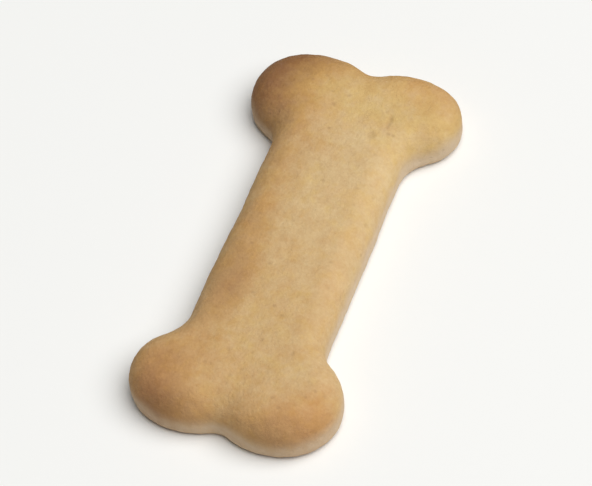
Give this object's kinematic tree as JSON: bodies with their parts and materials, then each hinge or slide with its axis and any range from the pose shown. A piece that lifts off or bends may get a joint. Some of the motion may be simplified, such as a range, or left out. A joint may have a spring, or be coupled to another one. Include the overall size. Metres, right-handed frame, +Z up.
{
  "type": "dog biscuit",
  "caption": "Flat bone-shaped hard-baked dog biscuit: a straight shaft with round knuckles at each end, a flat bottom, upright sides and a soft round shoulder; a treat to be chewed.",
  "frame": {"origin": "on the surface that the biscuit lies on, under the middle of its outline", "axes": "+X along the biscuit, from the near pair of knuckles to the far pair; +Y across it; +Z up, out of the domed top"},
  "size_m": [0.0902, 0.042, 0.0095],
  "materials": {
    "crust": "dry matte baked crust, pale tan top, browned shoulders, paler floury sides"
  },
  "bodies": {
    "root": {"biscuit": "crust"}
  },
  "joints": []
}
